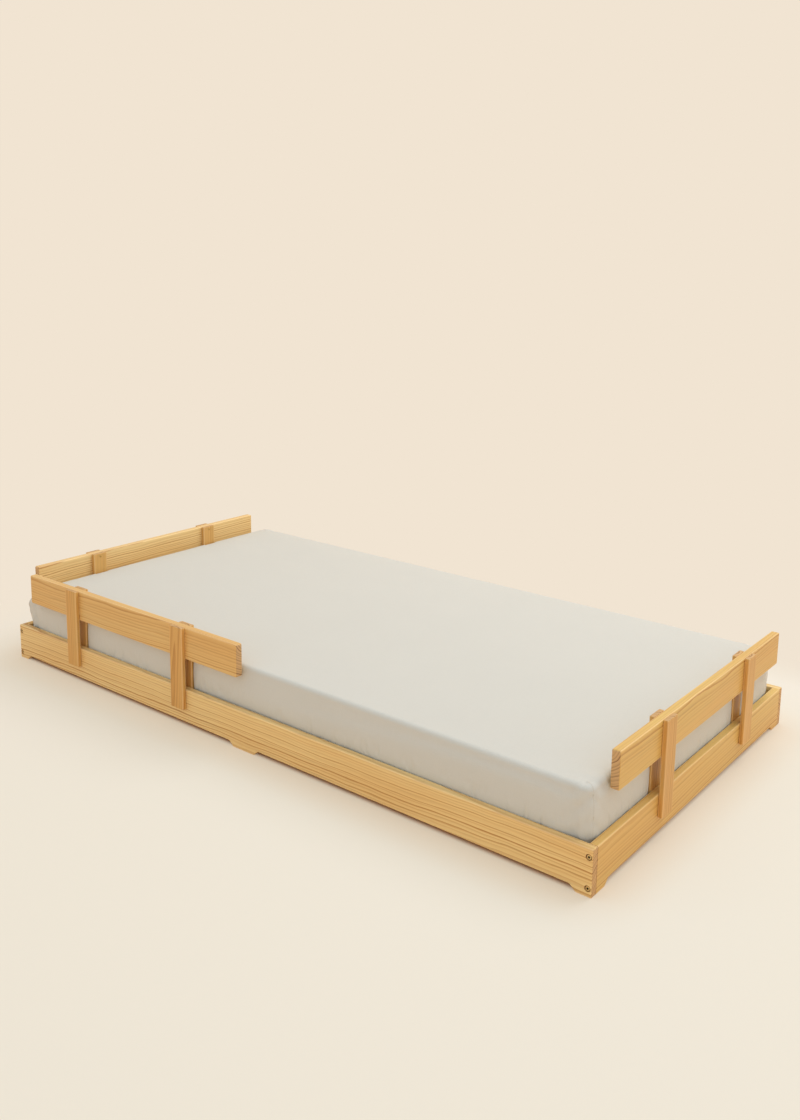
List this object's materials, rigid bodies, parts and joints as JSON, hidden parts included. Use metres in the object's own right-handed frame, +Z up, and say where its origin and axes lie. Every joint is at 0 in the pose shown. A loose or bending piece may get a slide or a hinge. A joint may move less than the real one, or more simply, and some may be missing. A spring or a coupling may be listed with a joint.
{
  "type": "toddler floor bed",
  "caption": "Low pine floor bed on cut-out feet, with slip-on guard boards at the head, the foot and one long side, and a foam mattress in a fitted sheet.",
  "frame": {"origin": "middle of the whole bed's outline on the floor", "axes": "+Z up; +X along the bed towards the foot; -Y towards the long side that carries the guard"},
  "size_m": [1.9746, 1.0472, 0.272],
  "materials": {
    "pine": "satin",
    "brass_plated_bolt": "satin",
    "barrel_nut_steel": "satin",
    "brass_plated_screw": "satin",
    "mattress_foam": "matte",
    "sheet_cotton": "matte"
  },
  "bodies": {
    "root": {"front_side_rail": "pine", "back_side_rail": "pine", "head_rail": "pine", "foot_rail": "pine", "front_cleat": "pine", "back_cleat": "pine", "head_cleat": "pine", "foot_cleat": "pine", "slat_01": "pine", "slat_02": "pine", "slat_03": "pine", "slat_04": "pine", "slat_05": "pine", "slat_06": "pine", "slat_07": "pine", "slat_08": "pine", "slat_09": "pine", "slat_10": "pine", "slat_11": "pine", "slat_12": "pine", "slat_13": "pine", "slat_14": "pine", "corner_bolts": "brass_plated_bolt", "barrel_nuts": "barrel_nut_steel", "cleat_screws": "brass_plated_screw", "slat_screws": "brass_plated_screw"},
    "front_guard": {"front_guard_board": "pine", "front_guard_outer_upright_a": "pine", "front_guard_outer_upright_b": "pine", "front_guard_inner_upright_a": "pine", "front_guard_inner_upright_b": "pine", "front_guard_screws": "brass_plated_screw"},
    "head_guard": {"head_guard_board": "pine", "head_guard_outer_upright_a": "pine", "head_guard_outer_upright_b": "pine", "head_guard_inner_upright_a": "pine", "head_guard_inner_upright_b": "pine", "head_guard_screws": "brass_plated_screw"},
    "foot_guard": {"foot_guard_board": "pine", "foot_guard_outer_upright_a": "pine", "foot_guard_outer_upright_b": "pine", "foot_guard_inner_upright_a": "pine", "foot_guard_inner_upright_b": "pine", "foot_guard_screws": "brass_plated_screw"},
    "mattress": {"mattress": "mattress_foam", "fitted_sheet": "sheet_cotton"}
  },
  "joints": [
    {"name": "front_guard_lift", "type": "slide", "parent": "root", "child": "front_guard", "axis": [0, 0, 1], "range_m": [0, 0.17]},
    {"name": "head_guard_lift", "type": "slide", "parent": "root", "child": "head_guard", "axis": [0, 0, 1], "range_m": [0, 0.17]},
    {"name": "foot_guard_lift", "type": "slide", "parent": "root", "child": "foot_guard", "axis": [0, 0, 1], "range_m": [0, 0.17]},
    {"name": "mattress_lift", "type": "slide", "parent": "root", "child": "mattress", "axis": [0, 0, 1], "range_m": [0, 0.21]}
  ]
}
